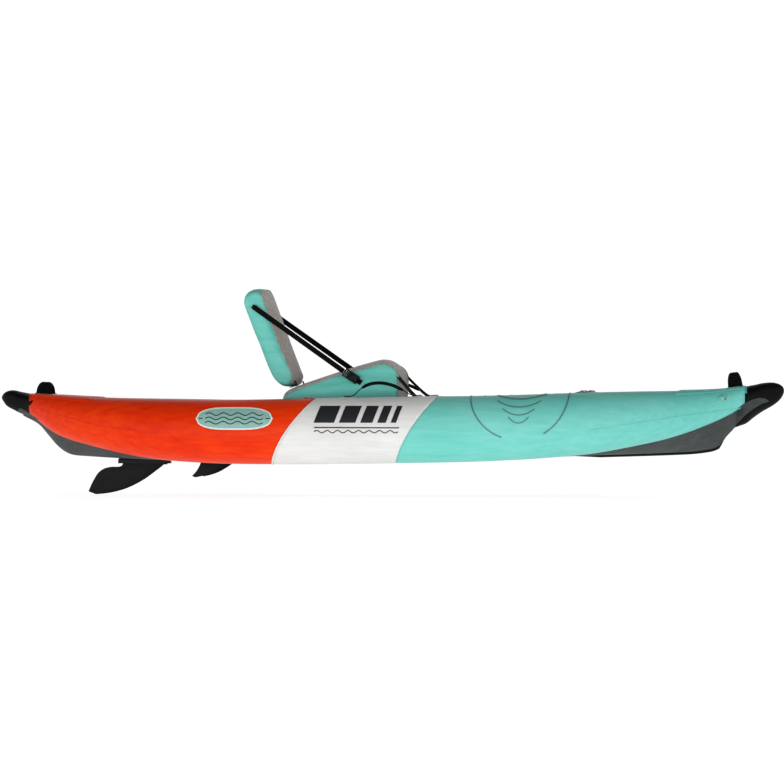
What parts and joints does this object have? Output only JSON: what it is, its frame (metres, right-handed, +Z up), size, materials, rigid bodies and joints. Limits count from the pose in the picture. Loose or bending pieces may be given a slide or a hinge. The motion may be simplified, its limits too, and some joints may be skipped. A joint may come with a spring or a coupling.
{
  "type": "inflatable kayak",
  "caption": "Sit-in inflatable kayak: banded air tubes, drop-stitch floor, nose caps, strapped seat with folding backrest, slide-in centre fin and small side fins.",
  "frame": {"origin": "middle of the boat's length on its centreline, at the empty boat's waterline", "axes": "+X to the bow, +Y to port, +Z up"},
  "size_m": [3.05, 0.9606, 0.7972],
  "materials": {
    "hull_orange": "satin orange coated fabric",
    "hull_white": "satin white coated fabric",
    "hull_teal": "satin light teal coated fabric",
    "hull_grey": "matte dark grey coated fabric",
    "deck_foam": "brushed closed-cell foam",
    "nose_black": "matte black moulded rubber",
    "webbing_black": "woven black webbing",
    "ring_steel": "bare ring on a welded patch",
    "clip_black": "moulded black plastic",
    "seat_teal": "teal coated fabric with a woven grey top",
    "seat_grey": "mottled grey woven seat face",
    "fin_black": "glass-filled black fin moulding"
  },
  "bodies": {
    "hull": {"port_tube_stern": "hull_orange", "port_tube_mid": "hull_white", "port_tube_bow": "hull_teal", "starboard_tube_stern": "hull_orange", "starboard_tube_mid": "hull_white", "starboard_tube_bow": "hull_teal", "hull_floor": "hull_grey", "deck_pad": "deck_foam", "keel_guard": "nose_black", "bow_nose": "nose_black", "stern_nose": "nose_black", "bow_deck": "hull_teal", "stern_deck": "hull_orange", "bow_grab_handle": "webbing_black", "stern_grab_handle": "webbing_black", "port_bow_ring": "ring_steel", "port_deck_ring": "ring_steel", "port_seat_front_ring": "ring_steel", "port_seat_rear_ring": "clip_black", "starboard_bow_ring": "ring_steel", "starboard_deck_ring": "ring_steel", "starboard_seat_front_ring": "ring_steel", "starboard_seat_rear_ring": "clip_black", "port_tube_valve": "clip_black", "starboard_tube_valve": "clip_black", "floor_valve": "clip_black", "port_carry_handle": "webbing_black", "starboard_carry_handle": "webbing_black", "seat_base": "seat_teal", "port_hinge_tab": "webbing_black", "starboard_hinge_tab": "webbing_black", "port_backrest_strap": "webbing_black", "starboard_backrest_strap": "webbing_black", "port_strap_buckle": "clip_black", "starboard_strap_buckle": "clip_black", "port_seat_tie_down": "webbing_black", "starboard_seat_tie_down": "webbing_black", "fin_box": "clip_black", "port_side_fin": "fin_black", "starboard_side_fin": "fin_black"},
    "backrest": {"backrest": "seat_teal"},
    "centre_fin": {"centre_fin": "fin_black"}
  },
  "joints": [
    {"name": "backrest_fold", "type": "hinge", "parent": "hull", "child": "backrest", "pos_m": [-0.318, 0, 0.2969], "axis": [0, 1, 0], "range_deg": [0, 95], "deforming": ["port_backrest_strap", "starboard_backrest_strap", "port_hinge_tab", "starboard_hinge_tab"]},
    {"name": "centre_fin_slide", "type": "slide", "parent": "hull", "child": "centre_fin", "axis": [-1, 0, 0], "range_m": [0, 0.19]}
  ]
}
